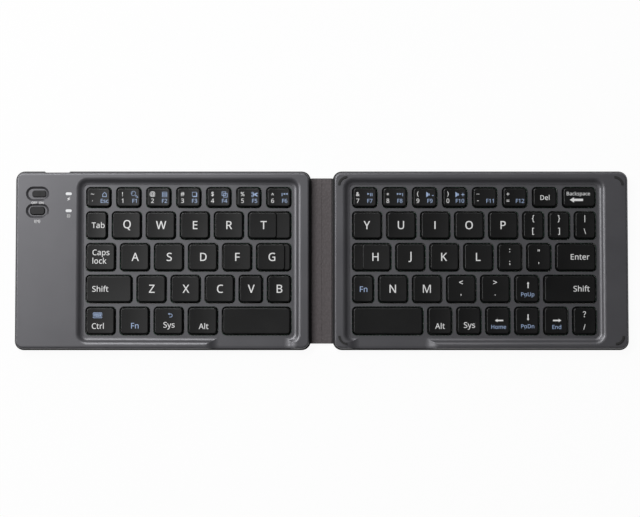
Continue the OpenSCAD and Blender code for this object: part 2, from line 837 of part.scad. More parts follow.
module pairing_button() {
    flange_z = bowl_pad_z - seam;
    foot_z = flange_z - flange_t;
    color([0.1, 0.1, 0.11]) translate([switch_x, pairing_y, 0]) {
        swept_plate(button_w, button_d, button_r, foot_z, button_top_z)
            edge_section(button_r, foot_z, button_top_z, 0.1, 0.35);
        slab(button_w + 2 * flange_w, button_d + 2 * flange_w, flange_r, foot_z, flange_z);
    }
}

module status_light_windows() {
    color([0.9, 0.9, 0.88]) for (y = [power_y, pairing_y])
        translate([light_x, y, 0]) {
            slot_prism(light_w, light_d, light_z, rim_z);
            slot_prism(light_w + 2 * light_flange, light_d + 2 * light_flange, light_z, panel_z);
        }
}

module charge_port() {
    color([0.75, 0.75, 0.77])
        translate([port_x, half_d / 2 - shelf - clear, port_z + port_h / 2]) rotate([90, 0, 0]) {
            linear_extrude(port_d) difference() {
                port_outline(0);
                port_outline(port_t);
            }
            translate([0, 0, port_d - port_t]) linear_extrude(port_t) port_outline(clear);
            translate([0, tongue_drop, 1]) linear_extrude(port_d - 1)
                square([tongue_w, tongue_t], center = true);
        }
}

// A port shell, wide at the top and narrow at the bottom
module port_outline(inset) {
    w = port_w / 2 - inset;
    h = port_h / 2 - inset;
    polygon([
        [-w, h], [w, h], [w, -h + port_bevel_h], [w - port_bevel_w, -h],
        [-w + port_bevel_w, -h], [-w, -h + port_bevel_h]
    ]);
}

module main_board() {
    color([0.1, 0.3, 0.2]) {
        difference() {
            translate([board_x + board_w / 2, board_y + board_d / 2, 0])
                slab(board_w, board_d, 1, board_z, board_top_z);
            at_screws(LEFT) cylinder(r = boss_r + 2 * clear, h = rim_z);
            translate([port_x, board_y + board_d, board_z + board_t / 2])
                cube([port_w + 2 * port_play, 2 * board_notch_d, 2 * board_t], center = true);
        }
        // controller, memory, crystal and the clamp over the membrane's tail
        for (part = [[4, 3, 6, 6, 0.9], [13, 5, 4, 3, 0.8], [14.5, 11, 3.2, 1.5, 0.7],
                [board_w - lead_reach - 1, lead_y, lead_reach + 0.2, lead_d, 1]])
            translate([board_x + part[0], board_y + part[1], board_top_z])
                cube([part[2], part[3], part[4]]);
        // lamps under the two windows
        for (y = [power_y, pairing_y])
            translate([light_x, y, board_top_z]) linear_extrude(lamp_size[2])
                square([lamp_size[0], lamp_size[1]], center = true);
    }
}

module battery() {
    color([0.7, 0.7, 0.72]) {
        translate([battery_x, battery_y, 0]) {
            swept_plate(battery_w, battery_d, 1.2, plate_z + seam, plate_z + battery_t)
                edge_section(1.2, plate_z + seam, plate_z + battery_t, 0, 0.6);
            // folded seal that carries the leads
            translate([0, battery_d / 2, 0])
                slab(seal_w, 2 * seal_d, 0.4, plate_z + tray_h + clear, seal_z);
        }
        for (x = [-wire_x, wire_x])
            translate([battery_x + x, battery_y + battery_d / 2 + 1, board_top_z + wire_r + seam])
                rotate([-90, 0, 0]) cylinder(r = wire_r, h = wire_len);
    }
}

// ---- spine and trim ----

module spine_sheet(z0, z1) {
    translate([-spine_sheet_w / 2, -spine_d / 2, z0]) cube([spine_sheet_w, spine_d, z1 - z0]);
}

module spine_outer_skin() {
    color([0.2, 0.2, 0.2]) spine_sheet(0, outer_leather_t);
}

module spine_inner_liner() {
    color([0.33, 0.31, 0.31]) difference() {
        spine_sheet(outer_leather_t, spine_t);
        cube([spine_w, ribbon_w + 4 * clear, 2 * (outer_leather_t + ribbon_t + seam)],
            center = true);
    }
}

module spine_flex_cable() {
    color([0.5, 0.3, 0.1])
        translate([-spine_sheet_w / 2, -ribbon_w / 2, outer_leather_t + ribbon_lift])
            cube([spine_sheet_w, ribbon_w, ribbon_t]);
}

// A quarter ring in each corner of the right half's rim
module bumper_arcs(height, play) {
    reach = bumper_inset + bumper_r;
    at_half(RIGHT)
        for (x = [-1, 1], y = [-1, 1]) scale([x, y, 1])
            translate([half_w / 2 - reach, half_d / 2 - reach, 0])
                rotate_extrude(angle = 90)
                    translate([bumper_r - bumper_w / 2 - play, 0])
                        square([bumper_w + 2 * play, height]);
}

module corner_bumpers() {
    color([0.05, 0.05, 0.05])
        translate([0, 0, rim_z - bumper_sunk]) bumper_arcs(bumper_sunk + bumper_proud, 0);
}

module left_bottom_case() color([0.3, 0.3, 0.31]) bottom_case(LEFT);
module right_bottom_case() color([0.24, 0.24, 0.25]) bottom_case(RIGHT);
module left_top_bezel() color([0.4, 0.4, 0.42]) top_bezel(LEFT);
module right_top_bezel() color([0.27, 0.27, 0.28]) top_bezel(RIGHT);
module left_key_web() color([0.42, 0.42, 0.43]) key_web(LEFT);
module right_key_web() color([0.34, 0.34, 0.35]) key_web(RIGHT);
module left_back_cover() color([0.2, 0.2, 0.2]) leather_back(LEFT, 0);
module right_back_cover() color([0.2, 0.2, 0.2]) leather_back(RIGHT, 0);
module left_support_plate() color([0.7, 0.7, 0.72]) support_plate(LEFT);
module right_support_plate() color([0.7, 0.7, 0.72]) support_plate(RIGHT);
module left_switch_membrane() color([0.85, 0.85, 0.8]) switch_membrane(LEFT);
module right_switch_membrane() color([0.85, 0.85, 0.8]) switch_membrane(RIGHT);
module left_key_domes() color([0.9, 0.9, 0.9]) key_domes(LEFT);
module right_key_domes() color([0.9, 0.9, 0.9]) key_domes(RIGHT);
module left_scissor_links() color([0.92, 0.92, 0.9]) scissor_links(LEFT);
module right_scissor_links() color([0.92, 0.92, 0.9]) scissor_links(RIGHT);
module left_case_screws() color([0.6, 0.6, 0.62]) case_screws(LEFT);
module right_case_screws() color([0.6, 0.6, 0.62]) case_screws(RIGHT);

left_bottom_case();
left_top_bezel();
left_key_web();
left_back_cover();
left_support_plate();
left_switch_membrane();
left_key_domes();
left_scissor_links();
left_case_screws();
power_switch_body();
power_slide_knob();
pairing_tact_switch();
pairing_button();
status_light_windows();
charge_port();
main_board();
battery();
spine_outer_skin();
spine_flex_cable();
spine_inner_liner();
right_bottom_case();
right_top_bezel();
right_key_web();
right_back_cover();
right_support_plate();
right_switch_membrane();
right_key_domes();
right_scissor_links();
right_case_screws();
corner_bumpers();
number_keys_left();
tab_key();
letter_keys_q_to_r();
letter_key_t();
caps_lock_key();
letter_keys_a_to_f();
letter_key_g();
shift_key_left();
letter_keys_z_to_b();
control_key();
function_key_left();
system_key_left();
alt_key_left();
space_key_left();
number_keys_right();
backspace_key();
letter_keys_y_to_p();
letter_key_h();
letter_keys_j_to_l();
punctuation_keys();
enter_key();
function_key_right();
letter_keys_n_and_m();
arrow_up_key();
shift_key_right();
space_key_right();
alt_and_system_keys_right();
arrow_left_key();
arrow_down_key();
arrow_right_and_slash_keys();
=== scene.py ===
import math

import bmesh
import bpy
from mathutils import Matrix, Vector


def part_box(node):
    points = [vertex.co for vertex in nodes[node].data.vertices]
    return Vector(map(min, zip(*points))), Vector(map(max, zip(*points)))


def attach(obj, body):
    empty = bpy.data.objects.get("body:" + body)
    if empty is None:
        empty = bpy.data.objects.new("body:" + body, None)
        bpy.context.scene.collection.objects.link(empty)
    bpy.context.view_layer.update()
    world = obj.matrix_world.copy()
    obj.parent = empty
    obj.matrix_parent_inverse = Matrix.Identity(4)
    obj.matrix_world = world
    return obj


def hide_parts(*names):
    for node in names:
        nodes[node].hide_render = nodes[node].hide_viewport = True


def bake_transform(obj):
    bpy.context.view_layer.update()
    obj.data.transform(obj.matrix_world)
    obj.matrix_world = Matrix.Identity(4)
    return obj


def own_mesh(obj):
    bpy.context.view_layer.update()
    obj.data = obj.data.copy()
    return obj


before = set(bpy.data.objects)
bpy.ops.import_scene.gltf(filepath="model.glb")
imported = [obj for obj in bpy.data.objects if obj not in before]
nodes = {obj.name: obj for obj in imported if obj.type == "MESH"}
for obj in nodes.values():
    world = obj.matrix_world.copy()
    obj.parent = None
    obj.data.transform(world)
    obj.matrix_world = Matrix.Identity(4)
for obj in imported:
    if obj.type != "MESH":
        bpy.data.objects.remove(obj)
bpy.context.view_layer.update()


# ---- Bottom cases ----
# Two shallow trays of dark ABS, injection moulded with a fine spark-eroded texture.
# Each carries one half's plate, board and cell, and its rim shows as a narrow dark
# shelf round the bezel above it.


class Wire:
    """A shader socket. Arithmetic on wires adds Math nodes to their material."""

    def __init__(self, tree, socket=None):
        self.tree = tree
        self.socket = socket

    def node(self, kind, settings=None, out=None, stops=None, **inputs):
        """Add a node: its settings, its ramp stops, then its sockets by name."""
        made = self.tree.nodes.new("ShaderNode" + kind)
        for name, value in (settings or {}).items():
            setattr(made, name, value)
        if stops:
            ramp = made.color_ramp.elements
            while len(ramp) < len(stops):
                ramp.new(0.5)
            for element, (place, level) in zip(ramp, stops):
                element.position = place
                element.color = (level, level, level, 1)
        for name, value in inputs.items():
            socket = next(
                s for s in made.inputs if name in (s.identifier, s.name.replace(" ", "_"))
            )
            if isinstance(value, Wire):
                self.tree.links.new(value.socket, socket)
            else:
                socket.default_value = value
        found = next((s for s in made.outputs if out in (None, s.identifier, s.name)), None)
        return Wire(self.tree, found)

    def maths(self, operation, a, b):
        """A Math node that works on a and b."""
        return self.node("Math", {"operation": operation}, Value=a, Value_001=b)

    def __add__(self, other):
        return self.maths("ADD", self, other)

    def __radd__(self, other):
        return self.maths("ADD", other, self)

    def __sub__(self, other):
        return self.maths("SUBTRACT", self, other)

    def __rsub__(self, other):
        return self.maths("SUBTRACT", other, self)

    def __mul__(self, other):
        return self.maths("MULTIPLY", self, other)

    def __rmul__(self, other):
        return self.maths("MULTIPLY", other, self)


def new_finish(name):
    """An empty material, a wire to grow its nodes from, and the object's coordinates."""
    finish = bpy.data.materials.new(name)
    finish.use_nodes = True
    finish.node_tree.nodes.clear()
    wire = Wire(finish.node_tree)
    return finish, wire, wire.node("TexCoord", out="Object")


def painted(wire, dark, light, mask):
    """A colour that runs from dark to light with the mask."""
    return wire.node(
        "Mix",
        {"data_type": "RGBA"},
        out="Result_Color",
        Factor_Float=mask,
        A_Color=(*dark, 1),
        B_Color=(*light, 1),
    )


def noise(wire, place, scale, detail=3):
    """Soft noise from 0 to 1, with that many spots to a metre."""
    return wire.node(
        "TexNoise", out="Fac", Vector=place, Scale=scale, Detail=detail, Roughness=0.55
    )


def bumped(wire, height, depth):
    """The normals of a relief that is depth metres deep."""
    return wire.node("Bump", Height=height, Distance=depth, Strength=1.0)


def rolled_edge(wire, place, start, slope_rise):
    """A relief in metres that rolls off towards the long edges of the halves.

    It begins start metres from the middle line, and its slope grows by slope_rise per
    metre beyond that.
    """
    along = wire.maths("ABSOLUTE", wire.node("SeparateXYZ", out="Y", Vector=place), 0)
    beyond = wire.maths("MAXIMUM", along - start, 0)
    return beyond * beyond * (-slope_rise / 2)


def surface(wire, **inputs):
    """Finish a material with a Principled shader."""
    shader = wire.node("BsdfPrincipled", **inputs)
    wire.node("OutputMaterial", Surface=shader)


flow_marks = {"scale": 45, "detail": 4}
gloss_spread = 0.12


def moulded_plastic(
    name, dark, light, roughness, grain_scale, grain_depth, metal=0.0, gloss=0.5, roll=None
):
    """Satin plastic: a fine moulded grain, faint flow marks and slightly uneven gloss.

    The grain's depth is in metres. roll gives rolled_edge its start and its rise in slope.
    """
    finish, wire, place = new_finish(name)
    relief = noise(wire, place, scale=grain_scale, detail=2) * grain_depth
    if roll:
        relief = relief + rolled_edge(wire, place, *roll)
    cloud = noise(wire, place, **flow_marks)
    surface(
        wire,
        Base_Color=painted(wire, dark, light, cloud),
        Roughness=roughness - gloss_spread / 2 + gloss_spread * cloud,
        Normal=bumped(wire, relief, depth=1.0),
        Metallic=metal,
        Specular_IOR_Level=gloss,
    )
    return finish


def paint(material, *names):
    """Give CAD nodes a material in place of the one they came with."""
    for name in names:
        nodes[name].data.materials.clear()
        nodes[name].data.materials.append(material)


case_plastic = moulded_plastic(
    "case_plastic",
    dark=(0.009, 0.009, 0.010),
    light=(0.013, 0.013, 0.014),
    roughness=0.62,
    grain_scale=5200,
    grain_depth=0.000012,
    gloss=0.25,
    roll=(0.0438, 700),
)
paint(case_plastic, "left_bottom_case", "right_bottom_case")


# ---- Leather backs and the outside of the spine ----
# One sheet of thin split leather with an embossed grain, glued under both cases and
# left free between them, where it is the keyboard's hinge. It is modelled as two
# sheets that meet in the middle of the spine, each closely divided round one fold line.

leather_t = 0.0005
fold_x = 0.0055  # the fold lines, from the middle of the spine
fold_reach_out, fold_reach_in = 0.0009, 0.0018  # what bends on each side of a fold line
fold_columns = 12
warp_scale, pebble_scale, pore_scale, stain_scale = 420, 900, 3800, 30
warp = 0.0012  # how far the pebbles are pushed out of their grid
emboss_depth = 0.00008


def leather(name, dark, light, roughness):
    """Embossed leather: small pebbles with creases between them, the creases painted darker as
    shade.
    """
    finish, wire, place = new_finish(name)
    push = wire.node(
        "TexNoise", out="Color", Vector=place, Scale=warp_scale, Detail=2, Roughness=0.5
    )
    bent = wire.node(
        "Mix",
        {"data_type": "VECTOR"},
        out="Result_Vector",
        Factor_Float=warp,
        A_Vector=place,
        B_Vector=push,
    )
    pebbles = wire.node(
        "TexVoronoi",
        {"feature": "SMOOTH_F1"},
        out="Distance",
        Vector=bent,
        Scale=pebble_scale,
        Smoothness=0.4,
    )
    pores = noise(wire, place, scale=pore_scale, detail=2)
    cloud = noise(wire, place, scale=stain_scale, detail=5)
    creased = wire.node("ValToRGB", out="Color", Fac=pebbles, stops=[(0.15, 1), (0.75, 0)])
    relief = creased * 0.8 + pores * 0.2
    # The base colour is darkest in the creases, which is painted shade; the pores and the broad
    # stains are the leather's own tone.
    surface(
        wire,
        Base_Color=painted(wire, dark, light, relief * 0.5 + cloud * 0.5),
        Roughness=roughness + 0.14 * cloud - 0.1 * relief,
        Normal=bumped(wire, relief, depth=emboss_depth),
        Specular_IOR_Level=0.4,
    )
    return finish


back_leather = leather(
    "back_leather", dark=(0.045, 0.040, 0.042), light=(0.085, 0.077, 0.080), roughness=0.58
)


def add_piece(name, shape, material):
    """Make an object from a bmesh, with its place in its mesh."""
    mesh = bpy.data.meshes.new(name)
    shape.to_mesh(mesh)
    shape.free()
    piece = bpy.data.objects.new(name, mesh)
    bpy.context.scene.collection.objects.link(piece)
    mesh.materials.append(material)
    return piece


def rounded_sheet(x0, x1, y0, y1, z, radius, segments):
    """A flat face with round corners."""
    shape = bmesh.new()
    bmesh.ops.create_grid(shape, x_segments=1, y_segments=1, size=0.5)
    bmesh.ops.scale(shape, vec=(x1 - x0, y1 - y0, 1), verts=shape.verts)
    bmesh.ops.translate(shape, vec=((x0 + x1) / 2, (y0 + y1) / 2, z), verts=shape.verts)
    bmesh.ops.bevel(
        shape,
        geom=shape.verts[:],
        offset=radius,
        affect="VERTICES",
        segments=segments,
        profile=0.5,
        material=-1,
    )
    return shape


same_place = 1e-6


def grow_columns(shape, edges, columns, side):
    """Extrude an edge along X, column by column, out to each x and half length y."""
    for x, half_y in columns:
        grown = bmesh.ops.extrude_edge_only(shape, edges=edges)["geom"]
        edges = [g for g in grown if isinstance(g, bmesh.types.BMEdge)]
        for vert in {v for e in edges for v in e.verts}:
            vert.co.x = side * x
            vert.co.y = math.copysign(half_y, vert.co.y)
        edges = [e for e in edges if abs(e.verts[0].co.x - e.verts[1].co.x) < same_place]


def fold_stations(limit):
    """Distances from the middle of the spine, closely spaced where it folds."""
    start = fold_x + fold_reach_out
    step = (fold_reach_out + fold_reach_in) / fold_columns
    bend = [start - step * i for i in range(fold_columns + 1)]
    return [x for x in bend if x < limit] + [0.0]


rim_angle = 1.2  # an edge that turns by more radians than this is a rim


def thicken(shape, depth, rounding):
    """Turn a flat sheet into a closed one whose rims are softly rounded."""
    bmesh.ops.recalc_face_normals(shape, faces=shape.faces)
    if sum(f.normal.z for f in shape.faces) > 0:
        bmesh.ops.reverse_faces(shape, faces=shape.faces)
    grown = bmesh.ops.extrude_face_region(shape, geom=shape.faces[:])["geom"]
    lowered = [g for g in grown if isinstance(g, bmesh.types.BMVert)]
    bmesh.ops.translate(shape, vec=(0, 0, -depth), verts=lowered)
    bmesh.ops.recalc_face_normals(shape, faces=shape.faces)
    rims = [e for e in shape.edges if e.is_manifold and e.calc_face_angle(0) > rim_angle]
    bmesh.ops.bevel(
        shape, geom=rims, offset=rounding, affect="EDGES", segments=2, profile=0.5, material=-1
    )


spine_half_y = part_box("spine_outer_skin")[1].y
cover_corner, corner_segments = 0.003, 8
glued_x = fold_x + 0.00155  # where the part under a case begins
neck = 0.0003  # the length over which it narrows to the spine
back_rounding = 0.0001
sides = ((-1, "left"), (1, "right"))
for side, hand in sides:
    half, cover = hand + "_half", hand + "_back_cover"
    low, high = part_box(cover)
    far = max(abs(low.x), abs(high.x))
    inner, outer = sorted((side * glued_x, side * far))
    shape = rounded_sheet(
        inner, outer, low.y, high.y, leather_t, cover_corner, corner_segments
    )
    hinge_edge = [
        e
        for e in shape.edges
        if all(abs(v.co.x - side * glued_x) < same_place for v in e.verts)
    ]
    columns = [(x, spine_half_y) for x in [glued_x - neck, *fold_stations(glued_x - neck)]]
    grow_columns(shape, hinge_edge, columns, side)
    thicken(shape, leather_t, back_rounding)
    back = add_piece("back_leather_" + half, shape, back_leather)
    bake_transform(back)
    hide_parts(cover, "spine_outer_skin")


# ---- Inside of the spine ----
# A narrower strip of the same leather, laid over the ribbon cable and glued to the
# outer skin. Its cut edges stop just short of the two cases.

liner_leather = leather(
    "liner_leather", dark=(0.072, 0.062, 0.064), light=(0.105, 0.092, 0.095), roughness=0.62
)
liner_low, liner_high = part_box("spine_inner_liner")
liner_t, liner_rounding = 0.0004, 0.00015
for side, hand in sides:
    half = hand + "_half"
    shape = bmesh.new()
    start = [
        shape.verts.new((side * liner_high.x, y, liner_high.z))
        for y in (liner_low.y, liner_high.y)
    ]
    columns = [(x, liner_high.y) for x in fold_stations(liner_high.x - neck)]
    grow_columns(shape, [shape.edges.new(start)], columns, side)
    thicken(shape, liner_t, liner_rounding)
    liner = add_piece("spine_liner_" + half, shape, liner_leather)
    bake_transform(liner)
    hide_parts("spine_inner_liner")
    low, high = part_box(hand + "_back_cover")


# ---- Ribbon cable ----
# Copper tracks between two polyimide films, laid flat through the spine between the
# leather and its liner. It carries the right half's key lines to the board.

finish, wire, place = new_finish("ribbon_film")
tracks = wire.node(
    "TexWave",
    {"bands_direction": "Y"},
    out="Fac",
    Vector=place,
    Scale=320,
    Distortion=0,
    Detail=0,
)
surface(
    wire,
    Base_Color=painted(wire, (0.28, 0.10, 0.02), (0.62, 0.32, 0.09), tracks),
    Roughness=0.22 + 0.1 * tracks,
    Normal=bumped(wire, tracks, depth=0.00003),
)
paint(finish, "spine_flex_cable")


# ---- Support plates, membranes and screws ----
# A rolled steel sheet with hooks stamped up for the links, a printed polyester
# membrane on it, and black screws driven from below, under the leather.

finish, wire, place = new_finish("plate_steel")
drawn = wire.node("Mapping", Vector=place, Scale=(30, 2500, 2500))
brushing = noise(wire, drawn, scale=1)
surface(
    wire,
    Base_Color=painted(wire, (0.42, 0.43, 0.44), (0.60, 0.61, 0.62), brushing),
    Metallic=1.0,
    Roughness=0.24 + 0.2 * brushing,
    Normal=bumped(wire, brushing, depth=0.000006),
)
paint(finish, "left_support_plate", "right_support_plate")

finish, wire, place = new_finish("membrane_film")
across, along = (
    wire.node(
        "TexWave", {"bands_direction": bands}, out="Fac", Vector=place, Scale=scale, Distortion=0
    )
    for bands, scale in (("X", 180), ("Y", 95))
)
ink = wire.maths("GREATER_THAN", wire.maths("MAXIMUM", across, along), 0.93)
surface(
    wire,
    Base_Color=painted(wire, (0.16, 0.30, 0.22), (0.66, 0.66, 0.64), ink),
    Roughness=0.3 + 0.15 * ink,
    Normal=bumped(wire, ink, depth=0.00002),
    Coat_Weight=0.3,
)
paint(finish, "left_switch_membrane", "right_switch_membrane")

finish, wire, place = new_finish("screw_steel")
plating = noise(wire, place, scale=1500)
surface(
    wire,
    Base_Color=painted(wire, (0.05, 0.05, 0.055), (0.12, 0.12, 0.13), plating),
    Metallic=1.0,
    Roughness=0.3 + 0.2 * plating,
    Normal=bumped(wire, plating, depth=0.00001),
)
paint(finish, "left_case_screws", "right_case_screws")


# ---- Domes and scissor links ----
# Under each key stand a silicone dome, which gives the click and the return, and two
# acetal frames that cross and keep the cap level.

silicone, wire, place = new_finish("milky_silicone")
cloud = noise(wire, place, scale=600)
surface(
    wire,
    Base_Color=painted(wire, (0.58, 0.58, 0.56), (0.72, 0.72, 0.70), cloud),
    Roughness=0.45 + 0.12 * cloud,
    Normal=bumped(wire, cloud, depth=0.00002),
    Subsurface_Weight=0.2,
    Subsurface_Radius=(0.002, 0.002, 0.002),
)
acetal = moulded_plastic(
    "white_acetal",
    dark=(0.62, 0.62, 0.60),
    light=(0.74, 0.74, 0.72),
    roughness=0.38,
    grain_scale=4000,
    grain_depth=0.00001,
)

merge_distance = 0.0000005


def merged(node):
    """A copy of a CAD node's mesh as one joined surface."""
    shape = bmesh.new()
    shape.from_mesh(nodes[node].data)
    bmesh.ops.remove_doubles(shape, verts=shape.verts, dist=merge_distance)
    return shape


def solid_boxes(node):
    """The lowest and highest corner of each solid in a CAD node, from left to right."""
    shape = merged(node)
    waiting = set(shape.verts)
    boxes = []
    while waiting:
        front = [waiting.pop()]
        found = []
        while front:
            vert = front.pop()
            found.append(vert.co.copy())
            for edge in vert.link_edges:
                other = edge.other_vert(vert)
                if other in waiting:
                    waiting.remove(other)
                    front.append(other)
        low = Vector([min(p[i] for p in found) for i in range(3)])
        high = Vector([max(p[i] for p in found) for i in range(3)])
        boxes.append((low, high))
    shape.free()
    return sorted(boxes, key=lambda box: box[0].x)


key_nodes = {
    "left": [
        "number_keys_left", "tab_key", "letter_keys_q_to_r", "letter_key_t", "caps_lock_key",
        "letter_keys_a_to_f", "letter_key_g", "shift_key_left", "letter_keys_z_to_b",
        "control_key", "function_key_left", "system_key_left", "alt_key_left", "space_key_left",
    ],
    "right": [
        "number_keys_right", "backspace_key", "letter_keys_y_to_p", "letter_key_h",
        "letter_keys_j_to_l", "punctuation_keys", "enter_key", "function_key_right",
        "letter_keys_n_and_m", "arrow_up_key", "shift_key_right", "space_key_right",
        "alt_and_system_keys_right", "arrow_left_key", "arrow_down_key",
        "arrow_right_and_slash_keys",
    ],
}
key_boxes = {name: solid_boxes(name) for names in key_nodes.values() for name in names}


def under_keys(node, boxes):
    """The part of a CAD node's mesh that lies under these keys."""
    shape = merged(node)
    apart = [
        v for v in shape.verts
        if not any(a.x < v.co.x < b.x and a.y < v.co.y < b.y for a, b in boxes)
    ]
    bmesh.ops.delete(shape, geom=apart, context="VERTS")
    return shape


for hand, names in key_nodes.items():
    for name in names:
        for kind, material, slot in (
            ("_key_domes", silicone, "silicone"),
            ("_scissor_links", acetal, "link_plastic"),
        ):
            shape = under_keys(hand + kind, key_boxes[name])
            piece = add_piece(name + kind, shape, material)
            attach(piece, hand + "_half")
            name + "_press"
            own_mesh(piece)
            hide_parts(hand + kind)


# ---- Board, cell, port and switches ----
# The radio board lies in the rear of the left half, over a flat lithium-polymer cell.
# The charging port opens through the rear wall, and the two switches stand under
# their knob and button.

finish, wire, place = new_finish("board_laminate")
weave = noise(wire, place, scale=2600, detail=2)
traces = wire.node(
    "TexBrick",
    {"offset": 0.35},
    out="Fac",
    Vector=place,
    Scale=900,
    Mortar_Size=0.06,
    Color1=(1, 1, 1, 1),
)
surface(
    wire,
    Base_Color=painted(
        wire, (0.012, 0.085, 0.035), (0.03, 0.20, 0.09), traces * 0.8 + weave * 0.2
    ),
    Roughness=0.32 + 0.1 * weave,
    Normal=bumped(wire, traces, depth=0.00003),
    Coat_Weight=0.2,
)
paint(finish, "main_board")

finish, wire, place = new_finish("battery_foil")
crinkle = noise(wire, place, scale=260, detail=5)
surface(
    wire,
    Base_Color=painted(wire, (0.48, 0.49, 0.51), (0.62, 0.63, 0.65), crinkle),
    Metallic=0.7,
    Roughness=0.28 + 0.2 * crinkle,
    Normal=bumped(wire, crinkle, depth=0.00012),
)
paint(finish, "battery")

finish, wire, place = new_finish("tinned_steel")
tinning = noise(wire, place, scale=900, detail=4)
surface(
    wire,
    Base_Color=painted(wire, (0.55, 0.55, 0.55), (0.74, 0.74, 0.73), tinning),
    Metallic=1.0,
    Roughness=0.2 + 0.22 * tinning,
    Normal=bumped(wire, tinning, depth=0.00001),
)
paint(finish, "charge_port")

nylon = moulded_plastic(
    "black_nylon",
    dark=(0.018, 0.018, 0.018),
    light=(0.03, 0.03, 0.03),
    roughness=0.5,
    grain_scale=4200,
    grain_depth=0.00001,
)
paint(nylon, "power_switch_body", "pairing_tact_switch")


# ---- Bezels and key webs ----
# Each half's lid is one moulding, painted a satin graphite grey. Its rim falls in a
# soft curve to the flat web between the keys.

bezel_paint = moulded_plastic(
    "bezel_paint",
    dark=(0.089, 0.088, 0.097),
    light=(0.101, 0.100, 0.109),
    roughness=0.40,
    grain_scale=6500,
    grain_depth=0.000005,
    metal=0.45,
    gloss=0.9,
    roll=(0.0424, 124),
)
paint(bezel_paint, "left_top_bezel", "right_top_bezel", "left_key_web", "right_key_web")


# ---- Power knob, pairing button and status windows ----
# Satin black mouldings in two dished bowls: a knob that slides and a button that is
# pressed. The two light windows beside them are milky acrylic, pushed in from behind.

knob_plastic = moulded_plastic(
    "knob_plastic",
    dark=(0.005, 0.005, 0.006),
    light=(0.008, 0.008, 0.009),
    roughness=0.45,
    grain_scale=5200,
    grain_depth=0.000006,
    gloss=0.3,
)
paint(knob_plastic, "power_slide_knob", "pairing_button")

finish, wire, place = new_finish("light_window")
haze = noise(wire, place, scale=800)
surface(
    wire,
    Base_Color=painted(wire, (0.70, 0.71, 0.73), (0.86, 0.87, 0.88), haze),
    Roughness=0.2 + 0.15 * haze,
    Normal=bumped(wire, haze, depth=0.00001),
    Coat_Weight=0.4,
)
paint(finish, "status_light_windows")


# ---- Corner bumpers ----
# Four arcs of black rubber pressed into the right half's rim. The left half's rim
# comes to rest on them when the keyboard is folded.

finish, wire, place = new_finish("bumper_rubber")
chalk = noise(wire, place, scale=1400)
surface(
    wire,
    Base_Color=painted(wire, (0.010, 0.010, 0.010), (0.024, 0.024, 0.024), chalk),
    Roughness=0.68 + 0.15 * chalk,
    Normal=bumped(wire, chalk, depth=0.00002),
)
paint(finish, "corner_bumpers")


# ---- Keycaps ----
# Hollow ABS caps with a rounded edge and a fine satin grain. Their tops are very
# slightly dished, more across than from front to back, so each one shades by itself.

dish, cap_grain = 0.0002, 0.000005
dish_along = 0.3  # the dish from front to back, as a share of the one across


def cap_finish(name, boxes):
    """Black satin plastic with a hollow in the top of each cap of one node."""
    finish, wire, place = new_finish(name + "_plastic")
    across = 1.0  # from 0 in the middle of a cap to 1 at its sides
    for low, high in boxes:
        offset = wire.node("SeparateXYZ", out="X", Vector=place) - (low.x + high.x) / 2
        share = wire.maths("ABSOLUTE", offset * (2 / (high.x - low.x)), 0)
        across = wire.maths("MINIMUM", across, share)
    low, high = boxes[0]
    along = wire.node("SeparateXYZ", out="Y", Vector=place) - (low.y + high.y) / 2
    along = along * (2 / (high.y - low.y))
    hollow = (across * across + dish_along * along * along) * dish
    grain = noise(wire, place, scale=5600, detail=2) * cap_grain
    cloud = noise(wire, place, **flow_marks)
    surface(
        wire,
        Base_Color=painted(wire, (0.0034, 0.0034, 0.0036), (0.0052, 0.0052, 0.0054), cloud),
        Roughness=0.31 + gloss_spread * cloud,
        Normal=bumped(wire, hollow + grain, depth=1.0),
        Specular_IOR_Level=0.37,
    )
    return finish


for name, boxes in key_boxes.items():
    paint(cap_finish(name, boxes), name)


# ---- Printed legends ----
# White and blue inks pad-printed on the caps. Each cap is listed with its characters:
# the text, its height, and its place from the middle of the cap, in millimetres.

MM = 0.001
ink_t = 0.02 * MM
big, word, digit, small, icon = 3.95, 2.7, 2.1, 1.9, 2.4
capital_share = 0.71  # the height of a capital in a font of size 1
letter_space = 1.02
stroke = 0.009  # how far the ink spreads, as a share of a mark's height
print_shift = 0.22 * MM  # all marks sit a little towards the spine
print_rise = 0.1  # and a little towards the rear


def ink_finish(name, colour, worn):
    """Printed ink: nearly flat colour, a little thin where the screen left it."""
    finish, wire, place = new_finish(name)
    speckle = noise(wire, place, scale=2400)
    surface(
        wire,
        Base_Color=painted(wire, worn, colour, speckle),
        Roughness=0.5 + 0.1 * speckle,
        Normal=bumped(wire, speckle, depth=0.000004),
    )
    return finish


white_ink = ink_finish("white_ink", (0.80, 0.80, 0.80), (0.68, 0.68, 0.68))
blue_ink = ink_finish("blue_ink", (0.36, 0.47, 0.68), (0.28, 0.37, 0.56))


plain_starts = (("A", "Z", 0x1D5A0), ("a", "z", 0x1D5BA), ("0", "9", 0x1D7E2))


def plain_letters(text):
    """The text in the font's plain letters and digits. The I is plain as it is."""
    plain = text.replace("?", "？")
    for first, last, start in plain_starts:
        for code in range(ord(first), ord(last) + 1):
            if chr(code) != "I":
                plain = plain.replace(chr(code), chr(start + code - ord(first)))
    return plain


def character_mesh(text, height, spread):
    """A flat printed text as a mesh, its capitals that many millimetres high."""
    curve = bpy.data.curves.new("ink", "FONT")
    curve.body = plain_letters(text)
    curve.size = height / capital_share
    curve.offset = spread * height
    curve.extrude = ink_t / MM / 2
    curve.resolution_u = 3
    curve.space_character = letter_space
    holder = bpy.data.objects.new("ink", curve)
    bpy.context.scene.collection.objects.link(holder)
    bpy.context.view_layer.update()
    mesh = bpy.data.meshes.new_from_object(
        holder.evaluated_get(bpy.context.evaluated_depsgraph_get())
    )
    bpy.data.objects.remove(holder)
    bpy.data.curves.remove(curve)
    return mesh


ink_merge = 1e-8


